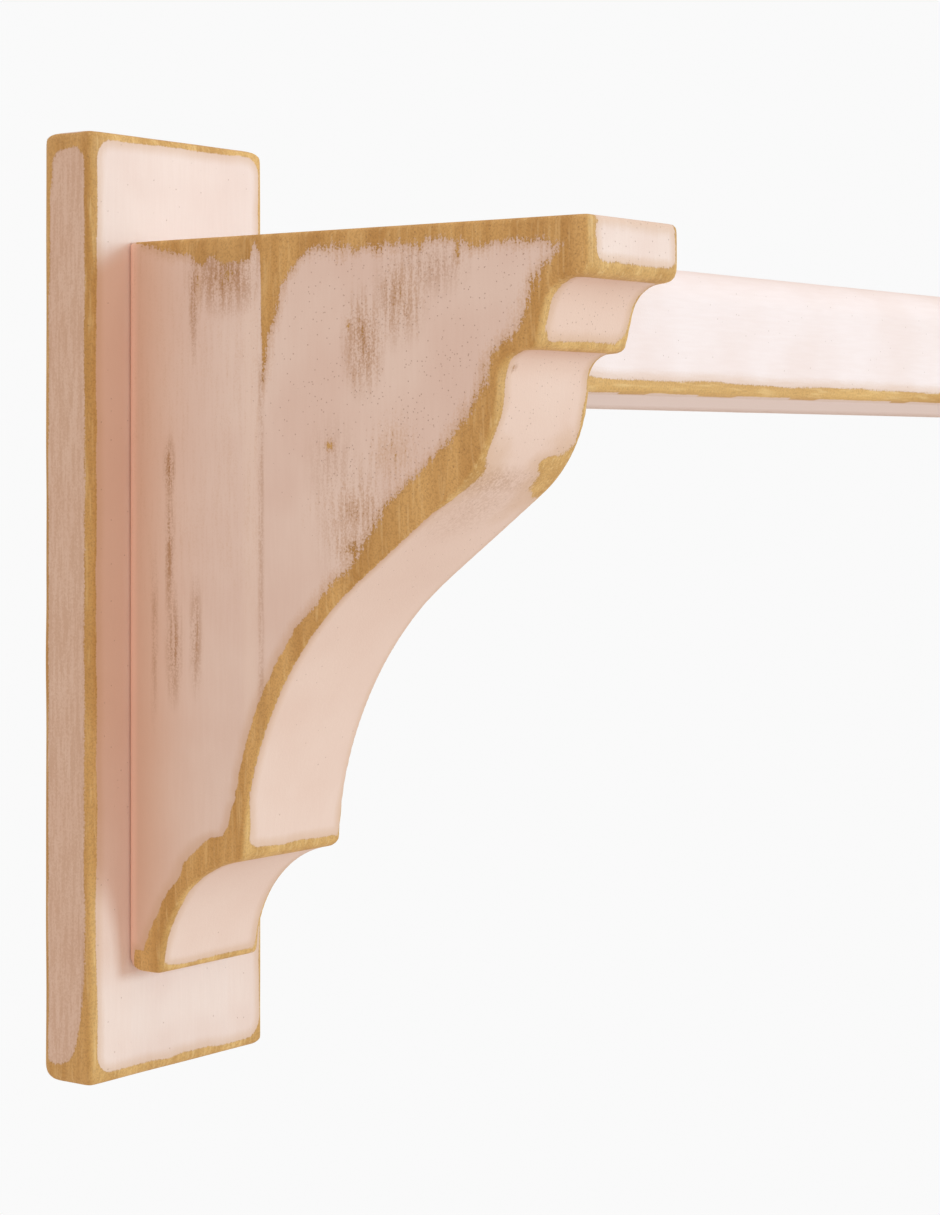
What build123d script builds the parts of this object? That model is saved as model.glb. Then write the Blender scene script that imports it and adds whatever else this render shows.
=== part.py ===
"""Wall shelf with brackets: a thick board held between two profiled corbels on back plates.

Millimetres. +X runs along the wall to the right, +Y points into the wall and +Z is up.
The wall is the plane Y = 0. The origin lies on it, midway between the entry holes of the
two keyhole hangers. Each bracket is drawn on its own centreline, for the left end of the
shelf, and the right one is its mirror image.
"""
from build123d import *
import math
import os

# ---- Whole shelf -------------------------------------------------------------------------
OVERALL_LENGTH = 914.0  # between the outer sides of the two back plates

# ---- Back plates -------------------------------------------------------------------------
PLATE_WIDTH = 89.0
PLATE_THICKNESS = 22.5
PLATE_ABOVE_CORBEL = 37.0
PLATE_BELOW_CORBEL = 37.0
PLATE_EASING = 2.2  # radius rubbed onto every arris

# ---- Corbels: two boards glued edge to edge ----------------------------------------------
CORBEL_WIDTH = 51.5
CORBEL_HEIGHT = 249.5
CORBEL_PROJECTION = 190.0  # from the face of the back plate to the front of the nose
REAR_BOARD_WIDTH = 60.0  # from the face of the back plate to the glue line
CORBEL_EASING = 1.5
HEEL_RADIUS = 5.0  # lower rear corner, against the back plate

# Corbel outline, from the nose downwards
NOSE_HEIGHT = 18.8
NOSE_RADIUS = 4.5
NOSE_FLAT = 0.7
UPPER_COVE_RADIUS = 11.8
BAND_RAKE = 14.0  # degrees that the band under the upper cove leans back
BAND_BOTTOM = 40.6  # below the top of the corbel
BAND_RADIUS = 3.6
MIDDLE_COVE_START = 24.8  # behind the front of the nose
MIDDLE_COVE_RADIUS = 9.0
BELLY_RADIUS = 45.5
DIAGONAL_LENGTH = 47.0
STEP_PROJECTION = 51.8  # where the long sweep comes down onto the lower step
STEP_ABOVE_FOOT = 41.1
STEP_RADIUS = 4.0
SWEEP_OVERRUN = 3.2  # the sweep would turn vertical this far below the step
FOOT_PROJECTION = 14.0

# ---- Shelf board -------------------------------------------------------------------------
SHELF_THICKNESS = 45.5
SHELF_BELOW_CORBEL_TOP = 7.3
SHELF_SETBACK = 45.0  # front face of the shelf behind the front of the noses
SHELF_FRONT_RADIUS = 12.5  # round-over along the top of the front face
SHELF_EASING = 2.5
SHELF_WALL_GAP = 1.0
NOTCH_CLEARANCE = 0.3  # round the back plates, at the rear corners of the shelf

# ---- Stub tenons and dowels between the shelf and the corbels ----------------------------
TENON_LENGTH = 12.0
TENON_THICKNESS = 22.0
TENON_SHOULDER = 18.0  # at the front and the rear edge of the tenon
TENON_CORNER_RADIUS = 6.0
MORTISE_CLEARANCE = 0.15
MORTISE_GLUE_ROOM = 1.0
DOWEL_DIAMETER = 10.0
DOWEL_LENGTH = 50.0
DOWEL_CHAMFER = 1.2
DOWEL_FLUTES = 10
DOWEL_FLUTE_RADIUS = 0.6
DOWEL_END_ROOM = 1.0
DOWEL_SETBACK = 17.0  # from the front and the rear edge of the tenon to a dowel's axis

# ---- Screws ------------------------------------------------------------------------------
PLATE_SCREW_DIAMETER = 4.8
PLATE_SCREW_LENGTH = 60.0
PLATE_SCREW_HEAD = 9.6
PLATE_SCREWS = 3
TOP_SCREW_BELOW_SHELF = 9.5
LOW_SCREW_ABOVE_STEP = 22.0
PLATE_SCREW_SINK = 0.6  # heads below the back of the plate
SCREW_SHANK_CLEARANCE = 0.25
HANGER_SCREW_DIAMETER = 3.0
HANGER_SCREW_LENGTH = 14.0
HANGER_SCREW_HEAD = 5.8
THREAD_DEPTH_SHARE = 0.12  # of the screw's diameter
THREAD_PITCH_SHARE = 0.5
HEAD_RIM = 0.2
RECESS_SHARE = 0.55  # width of the cross recess, of the head's diameter

# ---- Keyhole hangers, let into the back of each plate ------------------------------------
HANGER_WIDTH = 16.0
HANGER_LENGTH = 50.0
HANGER_THICKNESS = 1.6
HANGER_SINK = 0.2
HANGER_CLEARANCE = 0.15
HANGER_SCREW_SPACING = 38.0
ENTRY_RADIUS = 5.2  # lets the head of the wall screw in
SLOT_WIDTH = 5.0
SLOT_TRAVEL = 12.0  # the shelf drops this far onto the wall screw
ENTRY_BELOW_PLATE_TOP = 46.0
HEAD_ROOM_WIDTH = 13.0
HEAD_ROOM_DEPTH = 10.0

# ---- Levels and places that follow from the sizes above ----------------------------------
BRACKET_X = OVERALL_LENGTH / 2 - PLATE_WIDTH / 2
PLATE_HEIGHT = PLATE_ABOVE_CORBEL + CORBEL_HEIGHT + PLATE_BELOW_CORBEL
PLATE_TOP_Z = ENTRY_BELOW_PLATE_TOP
PLATE_FACE_Y = -PLATE_THICKNESS
CORBEL_TOP_Z = PLATE_TOP_Z - PLATE_ABOVE_CORBEL
STEP_Z = CORBEL_TOP_Z - CORBEL_HEIGHT + STEP_ABOVE_FOOT
SHELF_REACH = CORBEL_PROJECTION - SHELF_SETBACK  # out from the face of the back plates
SHELF_TOP_Z = CORBEL_TOP_Z - SHELF_BELOW_CORBEL_TOP
SHELF_MIDDLE_Z = SHELF_TOP_Z - SHELF_THICKNESS / 2
TOP_SCREW_Z = SHELF_TOP_Z - SHELF_THICKNESS - TOP_SCREW_BELOW_SHELF
LOW_SCREW_Z = STEP_Z + LOW_SCREW_ABOVE_STEP
SHELF_HALF_LENGTH = BRACKET_X - CORBEL_WIDTH / 2  # to the inner faces of the corbels
TENON_WIDTH = SHELF_REACH - 2 * TENON_SHOULDER
TENON_MIDDLE_Y = PLATE_FACE_Y - SHELF_REACH / 2
DOWEL_SPACING = TENON_WIDTH - 2 * DOWEL_SETBACK
HANGER_MIDDLE_Z = SLOT_TRAVEL / 2
MORTISE_DEPTH = TENON_LENGTH + MORTISE_GLUE_ROOM


def arc_about(centre, start, end):
    """The arc from start to end about centre, the short way round."""
    radius = (start - centre).length
    middle = centre + ((start - centre) + (end - centre)).normalized() * radius
    return ThreePointArc(start, middle, end)


def corbel_outline():
    """Side view of a corbel: x is out from the back plate, y is up, and (0, 0) its top rear.

    Every stretch meets the next one smoothly, except at the top of the nose and at the foot.
    """
    front = CORBEL_PROJECTION
    foot_level = -CORBEL_HEIGHT

    # Nose and the cove under it
    nose_centre = Vector(front - NOSE_RADIUS, NOSE_RADIUS - NOSE_HEIGHT)
    nose_start = Vector(front, nose_centre.Y)
    nose_end = Vector(nose_centre.X, -NOSE_HEIGHT)
    upper_start = Vector(nose_end.X - NOSE_FLAT, -NOSE_HEIGHT)
    upper_centre = Vector(upper_start.X, upper_start.Y - UPPER_COVE_RADIUS)
    rake = math.radians(BAND_RAKE)
    band_normal = Vector(math.cos(rake), -math.sin(rake))
    upper_end = upper_centre - band_normal * UPPER_COVE_RADIUS

    # Raked band and its rounded lower corner
    band_level = -BAND_BOTTOM
    band_end_level = band_level + BAND_RADIUS + BAND_RADIUS * band_normal.Y
    fall = upper_end.Y - band_end_level
    band_end = Vector(upper_end.X - fall * math.tan(rake), band_end_level)
    band_centre = band_end - band_normal * BAND_RADIUS
    band_foot = Vector(band_centre.X, band_level)

    # Middle cove and the belly below it
    middle_start = Vector(front - MIDDLE_COVE_START, band_level)
    middle_centre = Vector(middle_start.X, band_level - MIDDLE_COVE_RADIUS)
    middle_end = Vector(middle_centre.X - MIDDLE_COVE_RADIUS, middle_centre.Y)
    belly_centre = Vector(middle_end.X - BELLY_RADIUS, middle_end.Y)

    # Long sweep, sized so that a straight of DIAGONAL_LENGTH joins it to the belly
    step_level = foot_level + STEP_ABOVE_FOOT
    sweep_level = step_level - SWEEP_OVERRUN
    behind = belly_centre.X - STEP_PROJECTION
    below = belly_centre.Y - sweep_level
    sweep_radius = (behind**2 + below**2 - BELLY_RADIUS**2 - DIAGONAL_LENGTH**2) / (
        2 * (BELLY_RADIUS + behind)
    )
    sweep_centre = Vector(STEP_PROJECTION + sweep_radius, sweep_level)
    between = sweep_centre - belly_centre
    swing = math.acos((BELLY_RADIUS + sweep_radius) / between.length)
    normal = between.normalized().rotate(Axis.Z, math.degrees(swing))
    belly_end = belly_centre + normal * BELLY_RADIUS
    sweep_start = sweep_centre - normal * sweep_radius

    # Rounded lower step, touching the sweep above it and the lower cove below it
    step_centre_level = step_level + STEP_RADIUS
    reach = math.sqrt((sweep_radius + STEP_RADIUS) ** 2 - (step_centre_level - sweep_level) ** 2)
    step_centre = Vector(sweep_centre.X - reach, step_centre_level)
    sweep_end = sweep_centre + (step_centre - sweep_centre).normalized() * sweep_radius
    across = step_centre.X - FOOT_PROJECTION
    cove_radius = (across**2 + (step_centre_level - foot_level) ** 2 - STEP_RADIUS**2) / (
        2 * (across + STEP_RADIUS)
    )
    cove_centre = Vector(FOOT_PROJECTION + cove_radius, foot_level)
    cove_start = cove_centre + (step_centre - cove_centre).normalized() * cove_radius
    foot = Vector(FOOT_PROJECTION, foot_level)

    # Foot, heel and the edges against the shelf's open top and the back plate
    heel_centre = Vector(HEEL_RADIUS, foot_level + HEEL_RADIUS)
    heel_start = Vector(HEEL_RADIUS, foot_level)
    heel_end = Vector(0, heel_centre.Y)
    top_rear = Vector(0, 0)
    top_front = Vector(front, 0)

    edges = [
        Line(top_rear, top_front),
        Line(top_front, nose_start),
        arc_about(nose_centre, nose_start, nose_end),
        Line(nose_end, upper_start),
        arc_about(upper_centre, upper_start, upper_end),
        Line(upper_end, band_end),
        arc_about(band_centre, band_end, band_foot),
        Line(band_foot, middle_start),
        arc_about(middle_centre, middle_start, middle_end),
        arc_about(belly_centre, middle_end, belly_end),
        Line(belly_end, sweep_start),
        arc_about(sweep_centre, sweep_start, sweep_end),
        arc_about(step_centre, sweep_end, cove_start),
        arc_about(cove_centre, cove_start, foot),
        Line(foot, heel_start),
        arc_about(heel_centre, heel_start, heel_end),
        Line(heel_end, top_rear),
    ]
    return make_face(Curve() + edges)


def keyhole_slot(entry_radius, slot_width):
    """Keyhole in the wall plane: an entry hole at the origin and a slot running up from it."""
    slot = Pos(0, SLOT_TRAVEL / 2) * Rectangle(slot_width, SLOT_TRAVEL)
    return Circle(entry_radius) + slot + Pos(0, SLOT_TRAVEL) * Circle(slot_width / 2)


def hanger_outline(clearance=0.0):
    """Outline of a keyhole hanger, grown by clearance for the recess that takes it."""
    width = HANGER_WIDTH + 2 * clearance
    straight = HANGER_LENGTH - HANGER_WIDTH
    return Pos(0, HANGER_MIDDLE_Z) * SlotCenterToCenter(straight, width, rotation=90)


def wall_plane(depth):
    """Sketch plane parallel to the wall, depth in front of it, with x along X and y up."""
    return Plane(origin=(0, -depth, 0), x_dir=(1, 0, 0), z_dir=(0, -1, 0))


def into_plate(sketch, start, depth):
    """Solid of a sketch on the wall plane, from start to start + depth in front of the wall."""
    return extrude(wall_plane(start) * sketch, amount=depth)


def wood_screw(diameter, length, head_diameter, plain_length):
    """Countersunk screw with its head at the origin and its point towards -Y."""
    core = diameter * (1 - 2 * THREAD_DEPTH_SHARE) / 2
    crest = diameter / 2
    pitch = diameter * THREAD_PITCH_SHARE
    head = head_diameter / 2
    neck = HEAD_RIM + head - crest
    point = length - diameter
    threads = int((point - plain_length) / pitch)
    outline = [(0, 0), (head, 0), (head, -HEAD_RIM), (crest, -neck), (crest, -plain_length)]
    for turn in range(threads):
        level = -plain_length - turn * pitch
        outline += [(core, level - pitch * 0.3), (core, level - pitch * 0.6), (crest, level - pitch)]
    outline += [(core, -plain_length - threads * pitch - pitch * 0.3), (0, -length)]
    profile = make_face(Polyline(*outline, close=True))
    body = revolve(profile, Axis.Y, 360)
    recess_width = head_diameter * RECESS_SHARE
    recess_depth = neck * 0.8
    cross = Rectangle(recess_width, recess_width / 4) + Rectangle(recess_width / 4, recess_width)
    return body - into_plate(cross, 0, recess_depth)


def countersunk_hole(diameter, head_diameter, screw_diameter, depth):
    """Cutter for a countersunk screw: its seat fits the head, its shank hole is diameter wide."""
    head = head_diameter / 2
    shank = screw_diameter / 2
    neck = HEAD_RIM + head - shank
    hole = diameter / 2
    seat_end = neck - (hole - shank)
    outline = [(0, 1), (head, 1), (head, -HEAD_RIM), (hole, -seat_end), (hole, -depth), (0, -depth)]
    return revolve(make_face(Polyline(*outline, close=True)), Axis.Y, 360)


def plate_screw_places():
    """Head centres of the screws that hold a corbel to its back plate, from the top down."""
    spacing = (TOP_SCREW_Z - LOW_SCREW_Z) / (PLATE_SCREWS - 1)
    return [Pos(0, -PLATE_SCREW_SINK, TOP_SCREW_Z - i * spacing) for i in range(PLATE_SCREWS)]


def hanger_screw_places():
    """Head centres of the two screws of a keyhole hanger."""
    half = HANGER_SCREW_SPACING / 2
    return [Pos(0, -HANGER_SINK, HANGER_MIDDLE_Z + offset) for offset in (half, -half)]


def dowel_places():
    """Middles of the dowels at the left end of the shelf, on the end of the tenon."""
    x = CORBEL_WIDTH / 2 - TENON_LENGTH - MORTISE_GLUE_ROOM / 2
    half = DOWEL_SPACING / 2
    return [Pos(x, TENON_MIDDLE_Y + offset, SHELF_MIDDLE_Z) for offset in (half, -half)]


def dowel():
    """Fluted dowel along X, centred on the origin."""
    body = Cylinder(DOWEL_DIAMETER / 2, DOWEL_LENGTH)
    body = chamfer(body.edges().filter_by(GeomType.CIRCLE), DOWEL_CHAMFER)
    flute = Pos(DOWEL_DIAMETER / 2, 0, 0) * Cylinder(DOWEL_FLUTE_RADIUS, DOWEL_LENGTH)
    for index in range(DOWEL_FLUTES):
        body -= Rot(0, 0, index * 360 / DOWEL_FLUTES) * flute
    return Rot(0, 90, 0) * body


def dowel_hole():
    """Cutter for one dowel and the glue room at both of its ends."""
    return Rot(0, 90, 0) * Cylinder(DOWEL_DIAMETER / 2, DOWEL_LENGTH + 2 * DOWEL_END_ROOM)


def tenon(clearance, length):
    """Stub tenon or mortise on the inner face of the left corbel, reaching length into it."""
    plane = Plane(
        origin=(CORBEL_WIDTH / 2, TENON_MIDDLE_Y, SHELF_MIDDLE_Z), x_dir=(0, -1, 0), z_dir=(-1, 0, 0)
    )
    width = TENON_WIDTH + 2 * clearance
    thickness = TENON_THICKNESS + 2 * clearance
    section = RectangleRounded(width, thickness, TENON_CORNER_RADIUS + clearance)
    return extrude(plane * section, amount=length)


def back_plate():
    """Upright board against the wall, bored for its screws and recessed for its hanger."""
    middle_z = PLATE_TOP_Z - PLATE_HEIGHT / 2
    plate = Pos(0, -PLATE_THICKNESS / 2, middle_z) * Box(PLATE_WIDTH, PLATE_THICKNESS, PLATE_HEIGHT)
    plate = fillet(plate.edges(), PLATE_EASING)
    seat_depth = HANGER_SINK + HANGER_THICKNESS
    plate -= into_plate(hanger_outline(HANGER_CLEARANCE), 0, seat_depth)
    plate -= into_plate(
        keyhole_slot(HEAD_ROOM_WIDTH / 2, HEAD_ROOM_WIDTH), seat_depth, HEAD_ROOM_DEPTH
    )
    hole_width = PLATE_SCREW_DIAMETER + 2 * SCREW_SHANK_CLEARANCE
    cutter = countersunk_hole(
        hole_width, PLATE_SCREW_HEAD, PLATE_SCREW_DIAMETER, PLATE_THICKNESS + 1
    )
    for place in plate_screw_places():
        plate -= place * cutter
    pilot = Rot(90, 0, 0) * Cylinder(
        HANGER_SCREW_DIAMETER / 2,
        HANGER_SCREW_LENGTH + 1,
        align=(Align.CENTER, Align.CENTER, Align.MIN),
    )
    for place in hanger_screw_places():
        plate -= place * pilot
    return plate


def corbel_boards():
    """Rear and front boards of the left corbel, split along their glue line."""
    side_plane = Plane(
        origin=(0, PLATE_FACE_Y, CORBEL_TOP_Z), x_dir=(0, -1, 0), z_dir=(-1, 0, 0)
    )
    corbel = extrude(side_plane * corbel_outline(), amount=CORBEL_WIDTH / 2, both=True)
    outer_x = CORBEL_WIDTH / 2
    side_edges = [
        edge
        for edge in corbel.edges()
        if abs(abs(edge.center().X) - outer_x) < 0.01 and edge.center().Y < PLATE_FACE_Y - 0.01
    ]
    nose_top = corbel.edges().filter_by(Axis.X).sort_by(Axis.Y)[0:2].sort_by(Axis.Z)[-1]
    foot = corbel.edges().filter_by(Axis.X).sort_by(Axis.Z)[0:2].sort_by(Axis.Y)[0]
    corbel = fillet(side_edges + [nose_top, foot], CORBEL_EASING)

    corbel -= tenon(MORTISE_CLEARANCE, MORTISE_DEPTH)
    for place in dowel_places():
        corbel -= place * dowel_hole()
    pilot_length = PLATE_SCREW_LENGTH - PLATE_THICKNESS + 1
    pilot = Rot(90, 0, 0) * Cylinder(
        PLATE_SCREW_DIAMETER / 2, pilot_length, align=(Align.CENTER, Align.CENTER, Align.MIN)
    )
    for place in plate_screw_places():
        corbel -= Pos(0, PLATE_FACE_Y + PLATE_SCREW_SINK, 0) * place * pilot
    glue_line = Plane(
        origin=(0, PLATE_FACE_Y - REAR_BOARD_WIDTH, 0), x_dir=(1, 0, 0), z_dir=(0, 1, 0)
    )
    rear = split(corbel, glue_line, keep=Keep.TOP)
    front = split(corbel, glue_line, keep=Keep.BOTTOM)
    return rear, front


def keyhole_hanger():
    """Steel strip with a keyhole and two countersunk screw holes."""
    sketch = hanger_outline() - keyhole_slot(ENTRY_RADIUS, SLOT_WIDTH)
    hanger = into_plate(sketch, HANGER_SINK, HANGER_THICKNESS)
    cutter = countersunk_hole(
        HANGER_SCREW_DIAMETER, HANGER_SCREW_HEAD, HANGER_SCREW_DIAMETER, HANGER_SCREW_LENGTH
    )
    for place in hanger_screw_places():
        hanger -= place * cutter
    return hanger


def plate_screws():
    """Screws from the back of the plate into the rear board of the corbel."""
    plain = PLATE_THICKNESS - PLATE_SCREW_SINK
    screw = wood_screw(PLATE_SCREW_DIAMETER, PLATE_SCREW_LENGTH, PLATE_SCREW_HEAD, plain)
    return Compound([place * screw for place in plate_screw_places()])


def hanger_screws():
    """Screws that hold a keyhole hanger in its recess."""
    plain = HANGER_THICKNESS + HANGER_SCREW_DIAMETER / 2
    screw = wood_screw(HANGER_SCREW_DIAMETER, HANGER_SCREW_LENGTH, HANGER_SCREW_HEAD, plain)
    return Compound([place * screw for place in hanger_screw_places()])


def shelf_dowels():
    """Dowels that pin the left end of the shelf to its corbel."""
    return Compound([place * dowel() for place in dowel_places()])


def shelf_board():
    """Shelf with a stub tenon on each end and its rear corners cut round the back plates."""
    front_y = PLATE_FACE_Y - SHELF_REACH
    depth = -SHELF_WALL_GAP - front_y
    board = Pos(0, -SHELF_WALL_GAP - depth / 2, SHELF_MIDDLE_Z) * Box(
        2 * SHELF_HALF_LENGTH, depth, SHELF_THICKNESS
    )
    long_edges = board.edges().filter_by(Axis.X).sort_by(Axis.Y)
    front_edges = long_edges[0:2].sort_by(Axis.Z)
    board = fillet(front_edges[1], SHELF_FRONT_RADIUS)
    eased = [
        edge
        for edge in board.edges().filter_by(Axis.X)
        if edge.center().Y > -SHELF_WALL_GAP - 0.01
        or (edge.center().Y < front_y + 0.01 and edge.center().Z < SHELF_MIDDLE_Z - SHELF_THICKNESS / 4)
    ]
    board = fillet(eased, SHELF_EASING)

    overhang = (PLATE_WIDTH - CORBEL_WIDTH) / 2
    notch = Box(
        overhang + NOTCH_CLEARANCE,
        PLATE_THICKNESS + NOTCH_CLEARANCE,
        PLATE_HEIGHT,
        align=(Align.MIN, Align.MAX, Align.MAX),
    )
    notch = Pos(-SHELF_HALF_LENGTH, 0, PLATE_TOP_Z) * notch
    end_tenon = tenon(0, TENON_LENGTH)
    left_end = Pos(-BRACKET_X, 0, 0)
    for side in (left_end * end_tenon, mirror(left_end * end_tenon, Plane.YZ)):
        board += side
    for cut in (notch, mirror(notch, Plane.YZ)):
        board -= cut
    for place in dowel_places():
        hole = left_end * place * dowel_hole()
        board -= hole
        board -= mirror(hole, Plane.YZ)
    return board


def build():
    """Every piece of the shelf by its name."""
    rear_board, front_board = corbel_boards()
    bracket = {
        "back_plate": back_plate(),
        "corbel_rear_board": rear_board,
        "corbel_front_board": front_board,
        "keyhole_hanger": keyhole_hanger(),
        "hanger_screws": hanger_screws(),
        "plate_screws": plate_screws(),
        "shelf_dowels": shelf_dowels(),
    }
    pieces = {"shelf_board": shelf_board()}
    for name, piece in bracket.items():
        left = Pos(-BRACKET_X, 0, 0) * piece
        pieces["left_" + name] = left
        pieces["right_" + name] = mirror(left, Plane.YZ)
    return pieces


os.makedirs("parts", exist_ok=True)
for node, piece in build().items():
    export_step(piece, f"parts/{node}.step")
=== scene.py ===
"""Wall shelf with brackets: pale pink paint, rubbed through to golden wood along the arrises.

Every painted board is remeshed finely from its CAD node and keeps its size. Where hands and
sandpaper reach, the arris is worn rounder, and per-vertex values tell the material how far
the rubbing went. Hidden steel and the dowels keep the CAD's own meshes.
"""

import bmesh
import bpy
import numpy as np
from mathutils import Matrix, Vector, noise
from mathutils.kdtree import KDTree


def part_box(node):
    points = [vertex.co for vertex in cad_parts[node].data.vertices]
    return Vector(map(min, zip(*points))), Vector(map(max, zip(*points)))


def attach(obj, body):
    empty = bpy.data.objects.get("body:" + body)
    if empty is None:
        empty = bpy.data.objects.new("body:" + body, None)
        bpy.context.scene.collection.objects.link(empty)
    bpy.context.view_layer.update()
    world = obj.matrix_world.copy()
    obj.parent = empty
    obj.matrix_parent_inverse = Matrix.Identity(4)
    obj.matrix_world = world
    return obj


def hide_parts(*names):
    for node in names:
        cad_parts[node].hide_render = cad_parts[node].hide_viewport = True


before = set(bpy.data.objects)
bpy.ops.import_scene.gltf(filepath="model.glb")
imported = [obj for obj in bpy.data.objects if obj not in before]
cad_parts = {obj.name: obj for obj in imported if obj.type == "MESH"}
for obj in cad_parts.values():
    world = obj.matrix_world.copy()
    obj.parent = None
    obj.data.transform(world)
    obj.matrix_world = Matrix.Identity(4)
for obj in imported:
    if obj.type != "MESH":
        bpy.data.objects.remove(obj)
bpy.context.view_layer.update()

MM = 0.001

# ---- Light -------------------------------------------------------------------------------
PALE = 0.955  # brightness of the surroundings and the floor as seen
FLOOR_LEVEL = -3.2
FLOOR_HALF_SIZE = 40.0
FILL_COLOUR = (1.0, 0.88, 0.79, 1)
FILL_STRENGTH = 0.80
LIGHT_TARGET_DROP = 0.1  # below the top of the corbel
KEY_COLOUR = (0.55, 0.85, 1.0)
KEY_WATTS = 36.0
KEY_SIZE = 0.8
KEY_PLACE = (0.63, -2.6, 0.29)
TOP_COLOUR = (1.0, 1.0, 1.0)
TOP_WATTS = 9.0
TOP_SIZE = 1.2
TOP_PLACE = (-0.2, -0.8, 2.2)

# ---- Colours as seen on screen, from 0 to 255 --------------------------------------------
UPRIGHT_PAINT = ((238, 217, 207), (232, 207, 196))  # lighter and darker patches of one coat
SHELF_PAINT = ((241, 226, 224), (238, 220, 216))
BRUSH_MARKS = (206, 170, 152)
# painted shade: the darker, warmer tone that stands in for shade and shadow
PAINTED_SHADE_TONE = (228, 189, 166)
PALE_PAINT = (242, 221, 209)
# painted glow: a brighter pink standing in for light bounced into the corner against the back plate
BOUNCE_GLOW_PAINT = (255, 212, 192)
THIN_PAINT = (206, 164, 124)
# real smudges, and also painted shade under the shelf and on the plates
SMUDGE_AND_SHADE = (174, 126, 82)
PIT = (138, 98, 62)
WOOD = ((198, 150, 82), (222, 178, 110))
WOOD_PORES = (146, 102, 50)
WOOD_GLEAM = (238, 204, 144)
# stains on bare wood, and also painted shade
WOOD_STAIN_AND_SHADE = (140, 98, 52)
DOWEL_WOOD = ((176, 132, 82), (214, 178, 128))
HANGER_STEEL = (190, 192, 196)
SCREW_STEEL = (204, 182, 120)

# ---- Texture sizes, as noise scale per metre ---------------------------------------------
STREAKS = 800.0
FIGURE = 110.0
SPECKS = 1500.0
CLOUDS = 28.0
PIT_CELLS = 620.0
DOWEL_GRAIN = 900.0
STEEL_MOTTLE = 900.0
GRAIN_STRETCH = 0.09  # noise scale along the grain, as a share of that across it
DOWEL_STRETCH = 0.06

# ---- Camera ------------------------------------------------------------------------------
LENS = 81.2
SENSOR_WIDTH = 36.0
SHIFT_UP = -0.1247
LEFT_OF_PLATE = 0.6646
IN_FRONT_OF_PLATE = 0.6546
BELOW_CORBEL_TOP = 0.0733
CAMERA_HEADING = (0.8021, 0.5972, 0.0)

# ---- Places read from the frame ----------------------------------------------------------
plate_low, plate_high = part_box("left_back_plate")
_, rear_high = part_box("left_corbel_rear_board")
nose_low, nose_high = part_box("left_corbel_front_board")
shelf_low, shelf_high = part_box("shelf_board")
PLATE_FACE_Y = plate_low.y
CORBEL_TOP = rear_high.z
GLUE_Y = nose_high.y
PROJECTION = (PLATE_FACE_Y - nose_low.y) / MM
SEAM = (PLATE_FACE_Y - GLUE_Y) / MM

# ---- Fineness of the meshes and rounding of the arrises ----------------------------------
CORBEL_VOXEL = 1.1 * MM
PLATE_VOXEL = 1.3 * MM
SHELF_VOXEL = 2.2 * MM
CORBEL_ROUNDING = 0.35  # share of the way to a fully softened arris
PLATE_ROUNDING = 0.55
SHELF_ROUNDING = 0.4
SOFTENING_STEPS = 14
FLAT = 0.7  # a face turned this far along an axis counts as lying across it
PLATE_TOP_ROUNDING = (6.0, 5.0)  # mm, at the corner nearest the shelf and at the rear edge
PLATE_FOOT_ROUNDING = (5.0, 8.0)

# ---- Wear on the corbels, in mm ----------------------------------------------------------
# A place on a side is (out from the back plate, down from the top). Each pair of lists gives
# the places along an edge and how far the rubbing reaches from it there.
PAINTED = 4.0  # a depth of paint that no rubbing has reached
TOP_WEAR = (
    [0, 5, 12, 29, 31, 34, 37, 43, 50, 55, 57, 60, 83, 95, 120, 150, 175, 190],
    [-4, 0, 3, 6, 9, 9, 6, 8, 9, 7, 3, 7, 6, 6.5, 6, 6.5, 8, 12],
)
PROFILE_WEAR = (
    [0, 60, 130, 187, 195, 202, 210, 216, 230, 242, 250],
    [3, 3, 4.5, 4, 6, 8, 6, 3.5, 3.5, 6, 10],
)
BORDER = (  # the paint on a side ends this far out, level by level
    [0, 7, 17, 31, 39, 46, 56, 70, 79, 90, 107, 130, 147, 170, 250],
    [190, 182, 172, 166, 160, 155, 147, 137, 125, 111, 99, 78, 66, 75, 250],
)
SEAM_WEAR = ([0, 6, 11, 17, 27, 34, 48, 60], [26, 20, 14, 9, 6, 2.5, 0.5, -4])
SIDE_PATCHES = [  # centre, half size, depth
    ((32, 16), (2.2, 10), 1.0),
    ((45, 13), (12, 11), 0.3),
    ((103, 34), (7, 13), -1.1),
    ((119, 22), (8, 11), -1.0),
    ((141, 9), (2.5, 6), 1.0),
    ((97, 31), (1.5, 3), 2.6),
    ((89, 70), (2.8, 2.6), 2.4),
    ((102, 92), (15, 13), -1.3),
    ((116, 72), (10, 10), -1.1),
    ((98, 104), (9, 9), 0.2),
]
FRONT_WEAR = (
    [0, 40, 56, 72, 80, 86, 92, 186, 196, 212, 250],
    [4.2, 4.6, 3.4, 3.2, 5.0, 3.2, 0.6, 0.6, 2.6, 3.0, 3.0],
)
FAR_FRONT_WEAR = ([0, 40, 70, 86, 94, 186, 200, 250], [2.4, 2.6, 2.6, 2.4, 0.4, 0.4, 1.6, 1.8])
CORNER_WEAR = ([0, 8, 12, 230, 244, 250], [-1.2, -1.2, 1.4, 1.4, 1.2, 1.2])
FRONT_PATCHES = [  # centre (across towards the outer side, down), half size, depth
    ((-25, 79), (24, 17), 4.0),
    ((-15, 76), (16, 7), 3.0),
    ((27, 79), (20, 16), 3.0),
]
ARRIS_CONVEXITY = 0.33 * MM  # more convex than this on the side's outline is an arris
CORNER_CONVEXITY = 0.2 * MM  # the same for the corners along the moulded front
BESIDE_PLATE = 4.0  # arrises nearer the back plate than this don't count as worn
TOP_ARRIS = 3.0  # arrises this near the top count only at the nose, since TOP_WEAR covers them
NOSE_ARRIS = 4.0
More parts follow.
